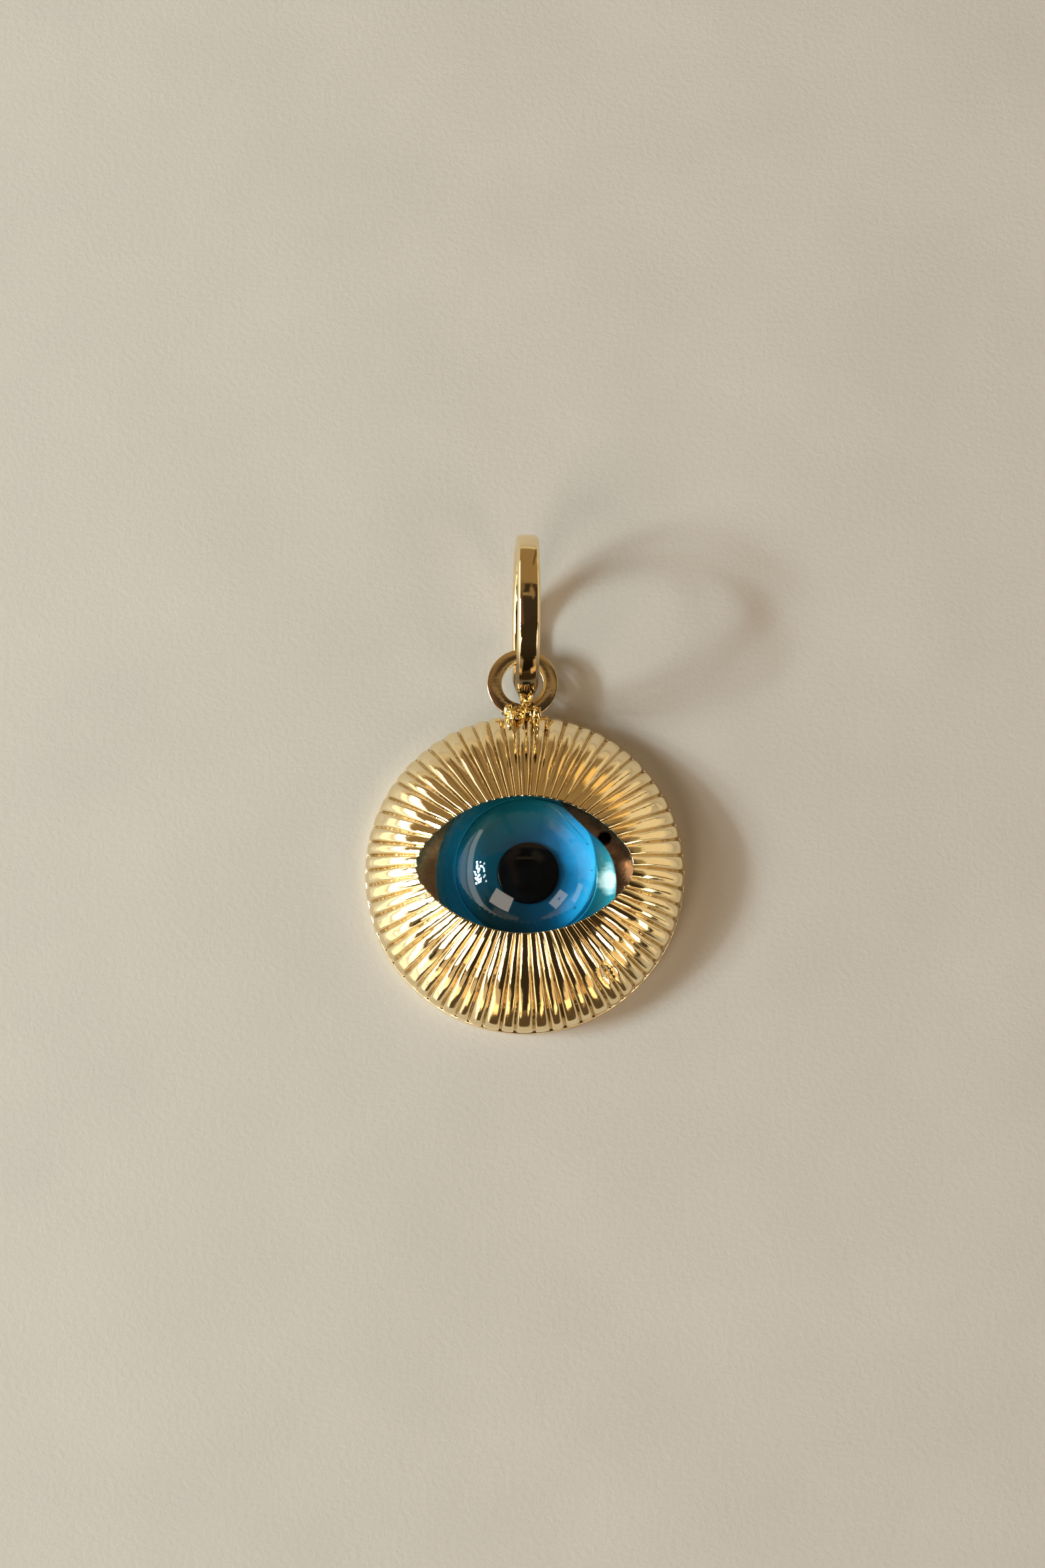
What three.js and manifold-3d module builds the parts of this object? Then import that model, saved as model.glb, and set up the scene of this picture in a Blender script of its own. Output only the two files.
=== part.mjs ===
// A gold eye pendant: a fluted domed cover with an almond opening over a round glass eye,
// closed by a flat back plate and hung from a flat ring loop and a tear-shaped bail.
// Millimetres. The back plate lies on z = 0, +Y points to the bail and +Z to the front.
import * as THREE from "three";
import { mergeVertices } from "three/addons/utils/BufferGeometryUtils.js";
import Module from "manifold-3d";

const wasm = await Module();
wasm.setup();

// Back plate
const plateRadius = 10.83;
const plateThickness = 0.5;
const plateEdgeRound = 0.12;

// Front cover: a pressed sheet in the shape of a spherical cap with a turned-down rim
const coverRadius = 10.78;
const domeRadius = 15;
const shoulderRadius = 10.1;
const shoulderHeight = 2.25;
const sheetThickness = 0.42;
const domeShare = 0.72;
const curlShare = 2 / 3;
const fluteCount = 62;
const fluteDepth = 0.24;
const fluteInnerShare = 0.55;
const fluteFootShare = 0.2;
const fluteSteps = 4;
const fluteRoundness = 3;

// Almond opening of the cover: two equal arcs with rounded corners
const almondHalfWidth = 7.18;
const almondHalfHeight = 4.55;
const almondCorner = 2.1;

// Glass eye
const glassRadius = 6;
const glassSphereRadius = 6.25;
const glassGirdle = 0.3;
const glassBaseGap = 0.02;
const glassChamfer = 0.15;
const glassX = 0.08;
const irisRadius = 3.95;
const irisThickness = 0.3;
const pupilRadius = 1.6;
const pupilShift = [0.1, -0.2];
const pupilThickness = 0.3;
const pocketClearance = 0.03;

// Coloured backing: a thin disc of teal glass that the dome lies on
const backingRadius = 5.9;
const backingThickness = 0.3;

// Seat: a shallow pressed tray under the glass, standing on the back plate
const seatTopZ = 1.2;
const seatRadius = 9.2;
const seatThickness = 0.35;
const seatCornerRadius = 0.5;
const ventRadius = 0.4;
const ventAt = [5.38, 2.3];

// Hanging loop: a flat ring let into the rim
const loopX = -0.16;
const loopY = 12.88;
const loopRadius = 2.4;
const loopHoleRadius = 1.42;
const loopThickness = 0.55;
const loopEdgeRound = 0.08;
const loopZ = 1.22;
const rimClearance = 0.06;

// Solder on the loop's foot: an ellipsoid's centre and half sizes
const solderAt = [loopX + 0.1, coverRadius + 0.1, loopZ + loopThickness + 0.03];
const solderSize = [1.35, 0.5, 0.38];
const solderTurn = 0.05;

// Bail: a tear-shaped strip ring standing on edge through the loop
const bailLength = 11.6;
const bailHeight = 8.6;
const bailWidth = 1.5;
const bailBevel = 0.2;
const bailTopThickness = 0.85;
const bailSideThickness = 0.64;
const bailTipThickness = 1;
const bailTipPointedness = 1.8;
const bailTipWidthShare = 0.6;
const bailTaperLength = 1.5;
const bailTilt = THREE.MathUtils.degToRad(15);
const bailLean = THREE.MathUtils.degToRad(2.7);
const bailTip = [0, 10.95, 2.95];
const bailSeamGap = 0.14;
const seamAt = [0, 0.42, 0];
const seamSize = [0.46, 0.55, 0.52];

const gold = { color: 0xd9a441, roughness: 0.16, metalness: 1 };
const shadedGold = { color: 0x8a5a24, roughness: 0.3, metalness: 1 };
const solderGold = { color: 0xe0b455, roughness: 0.28, metalness: 1 };
const backingTeal = { color: 0x0a4a55, roughness: 0.2, metalness: 0 };
const aquaGlass = { color: 0x0f7f9c, roughness: 0.04, metalness: 0 };
const irisBlue = { color: 0x0b5fae, roughness: 0.2, metalness: 0 };
const pupilBlack = { color: 0x060608, roughness: 0.15, metalness: 0 };

const pendant = new THREE.Group();

function addPiece(name, geometry, look, parent = pendant) {
  const piece = new THREE.Mesh(geometry, new THREE.MeshStandardMaterial(look));
  piece.name = name;
  parent.add(piece);
  return piece;
}

// A LatheGeometry stood up so that its axis is +Z.
function turned(points, segments) {
  const profile = points.map(([r, z]) => new THREE.Vector2(r, z));
  return new THREE.LatheGeometry(profile, segments).rotateX(Math.PI / 2);
}

function arcPoints(centreR, centreZ, radius, from, to, steps) {
  return Array.from({ length: steps + 1 }, (_, i) => {
    const angle = from + ((to - from) * i) / steps;
    return [centreR + radius * Math.cos(angle), centreZ + radius * Math.sin(angle)];
  });
}

// Moves every vertex of a geometry to what the function makes of it.
function warped(geometry, move) {
  const position = geometry.getAttribute("position");
  const point = new THREE.Vector3();
  for (let i = 0; i < position.count; i++) {
    point.fromBufferAttribute(position, i);
    move(point);
    position.setXYZ(i, point.x, point.y, point.z);
  }
  geometry.computeVertexNormals();
  return geometry;
}

function toSolid(geometry, matrix = new THREE.Matrix4()) {
  const bare = geometry.clone().applyMatrix4(matrix);
  bare.deleteAttribute("normal");
  bare.deleteAttribute("uv");
  const merged = mergeVertices(bare, 1e-4);
  const vertProperties = merged.getAttribute("position").array;
  const triVerts = new Uint32Array(merged.index.array);
  return new wasm.Manifold(new wasm.Mesh({ numProp: 3, vertProperties, triVerts }));
}

function toGeometry(solid) {
  const mesh = solid.getMesh();
  const geometry = new THREE.BufferGeometry();
  geometry.setAttribute("position", new THREE.BufferAttribute(mesh.vertProperties, 3));
  geometry.setIndex(new THREE.BufferAttribute(mesh.triVerts, 1));
  geometry.computeVertexNormals();
  return geometry;
}

// Front cover ------------------------------------------------------------------------------

function domeHeight(r) {
  const rise = Math.sqrt(domeRadius ** 2 - r ** 2);
  return shoulderHeight + rise - Math.sqrt(domeRadius ** 2 - shoulderRadius ** 2);
}

const cornerX = almondHalfWidth - almondCorner;
const arcRadius =
  (cornerX ** 2 + almondHalfHeight ** 2 - almondCorner ** 2) /
  (2 * (almondHalfHeight - almondCorner));
const arcDrop = arcRadius - almondHalfHeight;

// How far a point lies outside the almond: two arcs whose meeting corners are rounded.
function outsideAlmond(x, y) {
  const beyondArc = x * arcDrop > cornerX * (y + arcDrop);
  if (beyondArc) return Math.hypot(x - cornerX, y) - almondCorner;
  return Math.hypot(x, y + arcDrop) - arcRadius;
}

// Distance from the pendant's axis to the almond's edge in a direction, by halving.
function almondEdge(angle) {
  let low = 0;
  let high = almondHalfWidth + 1;
  for (let i = 0; i < 40; i++) {
    const r = (low + high) / 2;
    const x = Math.abs(r * Math.cos(angle));
    const y = Math.abs(r * Math.sin(angle));
    if (outsideAlmond(x, y) < 0) low = r;
    else high = r;
  }
  return low;
}

// Height of a flute at an angle: 1 on its crown and 0 in the groove beside it.
function fluteShape(angle) {
  const turns = (angle / (2 * Math.PI)) * fluteCount;
  const phase = turns - Math.floor(turns + 1e-9);
  return 1 - Math.abs(2 * phase - 1) ** fluteRoundness;
}

const shoulderSlope = Math.asin(shoulderRadius / domeRadius);
const curlRadius = (coverRadius - shoulderRadius) / (1 - Math.sin(shoulderSlope));
const curlCentreZ = shoulderHeight - curlRadius * Math.cos(shoulderSlope);

// A point of the sheet: share runs from the almond's edge (0) over the dome and round the
// rim to its foot (1), and inner is true on the underside. The flutes grow shallower towards
// the axis and towards the foot.
function sheetPoint(share, inner, angle) {
  let r;
  let z;
  let normal;
  let along = 0;
  if (share <= domeShare) {
    const edge = almondEdge(angle);
    r = edge + ((shoulderRadius - edge) * share) / domeShare;
    z = domeHeight(r);
    normal = Math.asin(r / domeRadius);
  } else {
    along = (share - domeShare) / (1 - domeShare);
    const curl = Math.min(1, along / curlShare);
    const wall = Math.max(0, (along - curlShare) / (1 - curlShare));
    normal = THREE.MathUtils.lerp(shoulderSlope, Math.PI / 2, curl);
    r = coverRadius - curlRadius * (1 - Math.sin(normal));
    z = curlCentreZ + curlRadius * Math.cos(normal) - wall * (curlCentreZ - plateThickness);
  }
  const fade = Math.min(1, r / shoulderRadius) * THREE.MathUtils.lerp(1, fluteFootShare, along);
  const groove = fluteDepth * fade * (1 - fluteShape(angle));
  const sink = inner ? sheetThickness + fluteDepth * fade * fluteInnerShare : groove;
  r -= sink * Math.sin(normal);
  z -= share === 1 ? 0 : sink * Math.cos(normal);
  return [r, z];
}

function frontCover() {
  const outerShares = [1, 0.906, 0.813, domeShare, 0.54, 0.36, 0.18, 0];
  const innerShares = [0, 0.3, 0.6, domeShare, 0.85, 1];
  const section = [
    ...outerShares.map((share) => [1 + share, 1]),
    ...innerShares.map((share) => [1 + share, 0]),
  ];
  section.push(section[0]);
  const ring = turned(section, fluteCount * fluteSteps);
  return warped(ring, (p) => {
    const angle = Math.atan2(p.y, p.x);
    const share = Math.hypot(p.x, p.y) - 1;
    const near = [...outerShares, ...innerShares].find((s) => Math.abs(s - share) < 1e-4);
    const [r, z] = sheetPoint(near, p.z < 0.5, angle);
    p.set(r * Math.cos(angle), r * Math.sin(angle), z);
  });
}

addPiece("front_cover", frontCover(), gold);

// Back plate and seat ----------------------------------------------------------------------

function backPlate() {
  const round = plateEdgeRound;
  const edge = plateRadius - round;
  return turned(
    [
      [0, 0],
      ...arcPoints(edge, round, round, -Math.PI / 2, 0, 3),
      ...arcPoints(edge, plateThickness - round, round, 0, Math.PI / 2, 3),
      [0, plateThickness],
    ],
    96,
  );
}

addPiece("back_plate", backPlate(), gold);

function eyeSeat() {
  const top = seatTopZ;
  const c = seatCornerRadius;
  const t = seatThickness;
  const tray = turned(
    [
      [0, top - t],
      ...arcPoints(seatRadius - c, top - c, c - t, Math.PI / 2, 0, 3),
      [seatRadius - t, plateThickness],
      [seatRadius, plateThickness],
      ...arcPoints(seatRadius - c, top - c, c, 0, Math.PI / 2, 4),
      [0, top],
    ],
    72,
  );
  const drill = new THREE.CylinderGeometry(ventRadius, ventRadius, 4, 24).rotateX(Math.PI / 2);
  const place = new THREE.Matrix4().makeTranslation(ventAt[0], ventAt[1], top);
  return toGeometry(toSolid(tray).subtract(toSolid(drill, place)));
}

addPiece("eye_seat", eyeSeat(), shadedGold);

// Glass eye --------------------------------------------------------------------------------

const glass = new THREE.Group();
glass.position.set(glassX, 0, seatTopZ + backingThickness);
pendant.add(glass);

const pocketRadius = irisRadius + pocketClearance;
const pocketDepth = irisThickness + pupilThickness + pocketClearance;

function glassDome() {
  const start = Math.acos(glassRadius / glassSphereRadius);
  const centreZ = glassGirdle - glassSphereRadius * Math.sin(start);
  const dome = arcPoints(0, centreZ, glassSphereRadius, start, Math.PI / 2, 14);
  dome[dome.length - 1][0] = 0;
  return turned(
    [
      [0, pocketDepth],
      [pocketRadius, pocketDepth],
      [pocketRadius, glassBaseGap],
      [glassRadius - glassChamfer, glassBaseGap],
      [glassRadius, glassChamfer],
      ...dome,
    ],
    72,
  );
}

function disc(radius, thickness) {
  return new THREE.CylinderGeometry(radius, radius, thickness, 64).rotateX(Math.PI / 2);
}

const backing = addPiece("eye_backing", disc(backingRadius, backingThickness), backingTeal, glass);
backing.position.z = -backingThickness / 2;
addPiece("glass_dome", glassDome(), aquaGlass, glass);
const iris = addPiece("iris", disc(irisRadius, irisThickness), irisBlue, glass);
iris.position.z = irisThickness / 2;
const pupil = addPiece("pupil", disc(pupilRadius, pupilThickness), pupilBlack, glass);
pupil.position.set(...pupilShift, irisThickness + pupilThickness / 2);

// Hanging loop and its solder --------------------------------------------------------------

// The space that the fluted cover takes, with a little room round it.
function coverEnvelope() {
  const room = rimClearance;
  const dome = [];
  for (let r = shoulderRadius; r > 5; r -= 1) dome.push([r + room, domeHeight(r) + room]);
  const curl = arcPoints(
    coverRadius - curlRadius + room,
    curlCentreZ + room,
    curlRadius,
    0,
    Math.PI / 2 - shoulderSlope,
    4,
  );
  return turned([[0, -1], [coverRadius + room, -1], ...curl, ...dome.slice(1), [0, 6]], 96);
}

const envelope = toSolid(coverEnvelope());

function ringLoop() {
  const outline = new THREE.Shape().absarc(0, 0, loopRadius, 0, 2 * Math.PI, false);
  outline.holes.push(new THREE.Path().absarc(0, 0, loopHoleRadius, 0, 2 * Math.PI, true));
  const ring = new THREE.ExtrudeGeometry(outline, {
    depth: loopThickness - 2 * loopEdgeRound,
    bevelThickness: loopEdgeRound,
    bevelSize: loopEdgeRound,
    bevelOffset: -loopEdgeRound,
    bevelSegments: 2,
    curveSegments: 48,
  });
  return toSolid(ring.translate(loopX, loopY, loopZ + loopEdgeRound));
}

const loopSolid = ringLoop().subtract(envelope);
addPiece("hanging_loop", toGeometry(loopSolid), gold);

// Solder on the loop's foot, where it meets the rim, lapping up over the flutes' ends.
function loopSolder() {
  const bead = new THREE.SphereGeometry(1, 26, 15).rotateZ(solderTurn);
  const place = new THREE.Matrix4()
    .makeTranslation(...solderAt)
    .scale(new THREE.Vector3(...solderSize));
  const below = new THREE.BoxGeometry(4, 4, 2).translate(0, coverRadius, loopZ + loopThickness - 1);
  return toSolid(bead, place).subtract(envelope).subtract(toSolid(below));
}

addPiece("loop_solder", toGeometry(loopSolder()), solderGold);

// Bail -------------------------------------------------------------------------------------

// A tear: half an ellipse at the top and a pointed half at the tip, which lies at tipY.
function tearPoints(tipY, topY, halfHeight, steps) {
  const middle = (tipY + topY) / 2;
  const reach = (topY - tipY) / 2;
  return Array.from({ length: steps }, (_, i) => {
    const angle = (2 * Math.PI * (i + 0.5)) / steps;
    const power = 2 / (Math.cos(angle) > 0 ? 2 : bailTipPointedness);
    const y = Math.sign(Math.cos(angle)) * Math.abs(Math.cos(angle)) ** power;
    const z = Math.sign(Math.sin(angle)) * Math.abs(Math.sin(angle)) ** power;
    return new THREE.Vector2(middle + reach * y, halfHeight * z);
  });
}

// The bail in its own axes: the tear in the YZ plane, its tip at the origin and its top on +Y.
function bailStrip() {
  const half = bailHeight / 2;
  const outline = new THREE.Shape(tearPoints(0, bailLength, half, 72));
  const innerTop = bailLength - bailTopThickness;
  outline.holes.push(
    new THREE.Path(tearPoints(bailTipThickness, innerTop, half - bailSideThickness, 60)),
  );
  const strip = new THREE.ExtrudeGeometry(outline, {
    depth: bailWidth - 2 * bailBevel,
    bevelThickness: bailBevel,
    bevelSize: bailBevel,
    bevelOffset: -bailBevel,
    bevelSegments: 1,
  });
  strip.translate(0, 0, bailBevel - bailWidth / 2);
  return warped(strip, (p) => {
    const share = THREE.MathUtils.smoothstep(p.x, 0, bailTaperLength);
    const width = THREE.MathUtils.lerp(bailTipWidthShare, 1, share);
    p.set(p.z * width, p.x, p.y);
  });
}

const bailPlace = new THREE.Matrix4()
  .makeTranslation(...bailTip)
  .multiply(new THREE.Matrix4().makeRotationY(bailLean))
  .multiply(new THREE.Matrix4().makeRotationX(bailTilt));

const seamSlot = toSolid(
  new THREE.BoxGeometry(bailWidth * 2, bailTipThickness * 2, bailSeamGap),
);
const bailSolid = toSolid(bailStrip()).subtract(seamSlot);
addPiece("bail", toGeometry(bailSolid.transform(bailPlace.elements)), gold);

// The solder that closes the bail where the strip's two narrow ends meet.
function bailSeam() {
  const bead = new THREE.SphereGeometry(1, 20, 14);
  const place = new THREE.Matrix4()
    .makeTranslation(...seamAt)
    .scale(new THREE.Vector3(...seamSize));
  return toSolid(bead, place).subtract(bailSolid);
}

addPiece("bail_seam", toGeometry(bailSeam().transform(bailPlace.elements)), solderGold);

export default pendant;
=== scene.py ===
"""Looks of a gold eye pendant.

A fluted cover with an almond opening holds a blue glass eye; a flat ring loop carries a bail.
"""

import math
import random

import bpy
from mathutils import Euler, Matrix, Vector, noise


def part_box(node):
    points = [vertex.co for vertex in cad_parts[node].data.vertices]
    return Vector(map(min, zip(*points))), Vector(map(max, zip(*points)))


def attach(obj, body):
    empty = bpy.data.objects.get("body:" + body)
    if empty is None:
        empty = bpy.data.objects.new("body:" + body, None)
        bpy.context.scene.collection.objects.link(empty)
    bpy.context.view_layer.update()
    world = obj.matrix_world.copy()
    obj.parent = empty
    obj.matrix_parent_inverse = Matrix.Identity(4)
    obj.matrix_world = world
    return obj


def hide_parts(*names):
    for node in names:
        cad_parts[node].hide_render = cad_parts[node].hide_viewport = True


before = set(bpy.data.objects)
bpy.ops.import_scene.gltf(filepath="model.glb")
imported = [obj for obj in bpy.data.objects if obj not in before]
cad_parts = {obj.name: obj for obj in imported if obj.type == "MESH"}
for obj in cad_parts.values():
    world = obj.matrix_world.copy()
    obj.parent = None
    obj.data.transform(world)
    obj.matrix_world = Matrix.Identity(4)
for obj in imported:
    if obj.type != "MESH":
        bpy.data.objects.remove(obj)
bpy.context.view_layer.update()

MM = 0.001
TURN = 2 * math.pi


def node_box(node):
    """A CAD node's lowest and highest corners, in millimetres."""
    low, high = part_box(node)
    return Vector(low) / MM, Vector(high) / MM


# Sizes in millimetres, read from the frame where it holds them -----------------------------

cover_low, cover_high = node_box("front_cover")
_, plate_high = node_box("back_plate")
glass_low, glass_high = node_box("glass_dome")
backing_low, backing_high = node_box("eye_backing")
iris_low, iris_high = node_box("iris")
pupil_low, pupil_high = node_box("pupil")
loop_low, loop_high = node_box("hanging_loop")
seam_low, seam_high = node_box("bail_seam")

COVER_RADIUS = cover_high.x
FOOT_Z = cover_low.z
DOME_RADIUS = 15.0
SHOULDER_RADIUS = 10.45
SHOULDER_Z = 1.92
SHEET = 0.42
FLUTES = 62
GROOVE_DEPTH = 0.13
ALMOND_HALF_WIDTH = 7.18
ALMOND_HALF_HEIGHT = 4.55
ALMOND_CORNER = 2.1
VENT = (5.38, 2.3)
VENT_RADIUS = 0.4

LOOP_RADIUS = 2.4
LOOP_HOLE = 1.42
LOOP_CENTRE = Vector(((loop_low.x + loop_high.x) / 2, loop_high.y - LOOP_RADIUS))
LOOP_CORNER = 0.035
LOOP_BOW = 0.014
LOOP_WAVE = 0.006
LOOP_LIFT = 0.035
RIM_ROOM = 0.06
BAIL_ROOM = 0.62
SOLDER_GRAIN = 0.035

BAIL_LENGTH = 11.6
BAIL_HALF_HEIGHT = 4.3
BAIL_WIDTH = 1.5
BAIL_BEVEL = 0.2
BAIL_TIP_DEPTH = 1.0
BAIL_TOP_DEPTH = 0.85
BAIL_SIDE_DEPTH = 0.64
BAIL_POINTED = 1.8
BAIL_TIP_WIDTH = 0.35
BAIL_TAPER = 1.8
BAIL_JOIN = 1.3
BAIL_TILT = math.radians(15)
BAIL_LEAN = math.radians(2.7)
BAIL_TIP = Vector((0, 10.95, 2.95))
BAIL_PLACE = (
    Matrix.Translation(BAIL_TIP)
    @ Matrix.Rotation(BAIL_LEAN, 4, "Y")
    @ Matrix.Rotation(BAIL_TILT, 4, "X")
)


def lerp(a, b, share):
    return a + (b - a) * share


def smoothstep(low, high, x):
    t = min(1.0, max(0.0, (x - low) / (high - low)))
    return t * t * (3 - 2 * t)


# Meshes ------------------------------------------------------------------------------------


def piece(name, points, faces, body, replaced, material):
    """A mesh from points in millimetres, riding on a body in place of a CAD node."""
    mesh = bpy.data.meshes.new(name)
    mesh.from_pydata([tuple(c * MM for c in p) for p in points], [], faces)
    mesh.validate()
    mesh.polygons.foreach_set("use_smooth", [True] * len(mesh.polygons))
    mesh.materials.append(material)
    ob = bpy.data.objects.new(name, mesh)
    bpy.context.scene.collection.objects.link(ob)
    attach(ob, body)
    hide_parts(replaced)
    return ob


def crisp(ob):
    """Keeps broad faces flat between narrow rounded edges."""
    weighted = ob.modifiers.new("crisp", "WEIGHTED_NORMAL")
    weighted.weight = 100
    weighted.mode = "FACE_AREA"
    return ob


def ring_faces(rows, columns):
    """Quads of a closed grid that wraps both ways, facing out when rows run clockwise."""
    faces = []
    for i in range(columns):
        j = (i + 1) % columns
        for k in range(rows):
            m = (k + 1) % rows
            faces.append((i * rows + k, j * rows + k, j * rows + m, i * rows + m))
    return faces


def turned(profile, segments):
    """Points and faces of a profile turned round Z; its first and last points lie on the axis."""
    inner = profile[1:-1]
    points = [(0, 0, profile[0][1])]
    for i in range(segments):
        angle = TURN * i / segments
        points += [(r * math.cos(angle), r * math.sin(angle), z) for r, z in inner]
    points.append((0, 0, profile[-1][1]))
    rows = len(inner)
    faces = []
    for i in range(segments):
        a = 1 + i * rows
        b = 1 + ((i + 1) % segments) * rows
        faces.append((0, b, a))
        faces += [(a + k, b + k, b + k + 1, a + k + 1) for k in range(rows - 1)]
        faces.append((a + rows - 1, b + rows - 1, len(points) - 1))
    return points, faces


def arc(centre_r, centre_z, radius, start, end, steps):
    angles = [lerp(start, end, i / steps) for i in range(steps + 1)]
    return [(centre_r + radius * math.cos(a), centre_z + radius * math.sin(a)) for a in angles]


def moved(points, dx, dy=0.0):
    return [(x + dx, y + dy, z) for x, y, z in points]


# Materials ---------------------------------------------------------------------------------


class Nodes:
    """Short calls that add nodes to a shader tree."""

    def __init__(self, tree, place):
        self.tree = tree
        self.place = tree.nodes.new("ShaderNodeTexCoord").outputs[place]

    def node(self, kind, **settings):
        made = self.tree.nodes.new(kind)
        for key, value in settings.items():
            setattr(made, key, value)
        return made

    def link(self, source, target):
        self.tree.links.new(source, target)

    def maths(self, operation, a, b=0.0):
        made = self.node("ShaderNodeMath", operation=operation)
        for socket, value in zip(made.inputs, (a, b)):
            if isinstance(value, (int, float)):
                socket.default_value = value
            else:
                self.link(value, socket)
        return made.outputs[0]

    def stretched(self, scale):
        made = self.node("ShaderNodeMapping")
        made.inputs["Scale"].default_value = scale
        self.link(self.place, made.inputs["Vector"])
        return made.outputs[0]

    def noise(self, scale, detail=3.0, rough=0.5, vector=None):
        made = self.node("ShaderNodeTexNoise")
        made.inputs["Scale"].default_value = scale
        made.inputs["Detail"].default_value = detail
        made.inputs["Roughness"].default_value = rough
        self.link(vector or self.place, made.inputs["Vector"])
        return made.outputs["Fac"]

    def ramp(self, factor, *stops):
        made = self.node("ShaderNodeValToRGB")
        elements = made.color_ramp.elements
        while len(elements) < len(stops):
            elements.new(0.5)
        for element, (position, colour) in zip(elements, stops):
            element.position = position
            element.color = (*colour, 1)
        self.link(factor, made.inputs["Fac"])
        return made.outputs["Color"]

    def spread(self, factor, low, high, to_low, to_high):
        made = self.node("ShaderNodeMapRange")
        for key, value in zip(
            ("From Min", "From Max", "To Min", "To Max"), (low, high, to_low, to_high)
        ):
            made.inputs[key].default_value = value
        self.link(factor, made.inputs["Value"])
        return made.outputs[0]

    def blend(self, factor, below, above):
        """One colour over another, by a factor from 0 to 1."""
        made = self.node("ShaderNodeMix", data_type="RGBA")
        self.link(factor, made.inputs["Factor"])
        for socket, colour in ((made.inputs[6], below), (made.inputs[7], above)):
            if isinstance(colour, tuple):
                socket.default_value = (*colour, 1)
            else:
                self.link(colour, socket)
        return made.outputs[2]

    def dot(self, vector, way):
        made = self.node("ShaderNodeVectorMath", operation="DOT_PRODUCT")
        self.link(vector, made.inputs[0])
        made.inputs[1].default_value = way
        return made.outputs["Value"]


class Shader(Nodes):
    """A material with a Principled shader."""

    def __init__(self, name):
        self.material = bpy.data.materials.new(name)
        self.material.use_nodes = True
        super().__init__(self.material.node_tree, "Object")
        self.bsdf = self.tree.nodes["Principled BSDF"]

    def set(self, **values):
        for key, value in values.items():
            self.bsdf.inputs[key.replace("_", " ")].default_value = value

    def colour(self, source):
        self.link(source, self.bsdf.inputs["Base Color"])

    def distance(self, x, y):
        """Distance from a line square to the pendant's face, in millimetres."""
        made = self.node("ShaderNodeVectorMath", operation="DISTANCE")
        flat = self.node("ShaderNodeVectorMath", operation="MULTIPLY")
        self.link(self.place, flat.inputs[0])
        flat.inputs[1].default_value = (1 / MM, 1 / MM, 0)
        self.link(flat.outputs[0], made.inputs[0])
        made.inputs[1].default_value = (x, y, 0)
        return made.outputs["Value"]

    def bump(self, height, distance, under=None):
        """Fine relief; the distance is in metres, and one layer can lie over another."""
        made = self.node("ShaderNodeBump")
        made.inputs["Distance"].default_value = distance
        made.inputs["Strength"].default_value = 1.0
        self.link(height, made.inputs["Height"])
        if under:
            self.link(under, made.inputs["Normal"])
        self.link(made.outputs[0], self.bsdf.inputs["Normal"])
        return made.outputs[0]


def polar(shader):
    """Angle round the pendant's axis and distance from it, as a vector for radial grain."""
    split = shader.node("ShaderNodeSeparateXYZ")
    shader.link(shader.place, split.inputs[0])
    x, y, z = split.outputs
    angle = shader.maths("ARCTAN2", y, x)
    squares = [shader.maths("MULTIPLY", side, side) for side in (x, y)]
    distance = shader.maths("SQRT", shader.maths("ADD", *squares))
    join = shader.node("ShaderNodeCombineXYZ")
    shader.link(shader.maths("MULTIPLY", angle, 40.0), join.inputs[0])
    shader.link(shader.maths("MULTIPLY", distance, 600.0), join.inputs[1])
    shader.link(shader.maths("MULTIPLY", z, 600.0), join.inputs[2])
    return join.outputs[0]


def gold(name, light, deep, roughness, pits, radial=False, dark=None):
    """Polished gold: two tones, uneven polish, fine scratches, small pits and darker places."""
    s = Shader(name)
    s.set(Metallic=1.0)
    colour = s.ramp(s.noise(700, 4, 0.55), (0.3, deep), (0.7, light))
    if dark:
        place, tone = dark(s)
        colour = s.blend(place, colour, tone)
    s.colour(colour)
    wear = s.noise(1500, 5, 0.6)
    low, high = roughness
    s.link(s.spread(wear, 0.3, 0.75, low, high), s.bsdf.inputs["Roughness"])
    if radial:
        grain = s.noise(1.6, 4, 0.6, polar(s))
    else:
        grain = s.noise(2600, 4, 0.6, s.stretched((0.25, 1.6, 1.0)))
    under = s.bump(grain, 0.0000035)
    s.bump(s.noise(5200, 2, 0.5), pits, under=under)
    return s.material


def shade_in_grooves(s):
    """Painted shade in the bottoms of the grooves, deeper in some places than in others."""
    unevenness = s.spread(s.noise(900, 3, 0.6), 0.3, 0.7, 0.35, 0.85)
    depth = s.node("ShaderNodeAttribute", attribute_name="groove_shade").outputs["Fac"]
    return s.maths("MULTIPLY", depth, unevenness), (0.45, 0.3, 0.12)


def shade_under_vent(s):
    """Painted shade on the plate's inner face, below the seat's vent hole, where the inside of the
    hollow lies dark.
    """
    above = s.spread(s.dot(s.place, (0, 0, 1 / MM)), 0.25, 0.45, 0.0, 1.0)
    near = s.spread(s.distance(*VENT), 1.2, 1.8, 1.0, 0.0)
    return s.maths("MULTIPLY", above, near), VENT_SHADE


def near_tip(s):
    """Darker colour on the bail beside its soldered tip."""
    return s.spread(s.dot(s.place, (0, 1 / MM, 0)), 12.9, 14.2, 0.85, 0.0), (0.2, 0.13, 0.055)


LIGHT_GOLD = (0.95, 0.8, 0.52)
DEEP_GOLD = (0.92, 0.74, 0.43)
LIGHT_SOLDER = (0.97, 0.8, 0.42)
DEEP_SOLDER = (0.92, 0.66, 0.24)
# near-black painted shade, seen in the seat's vent hole and through it
VENT_SHADE = (0.004, 0.003, 0.003)

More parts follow.
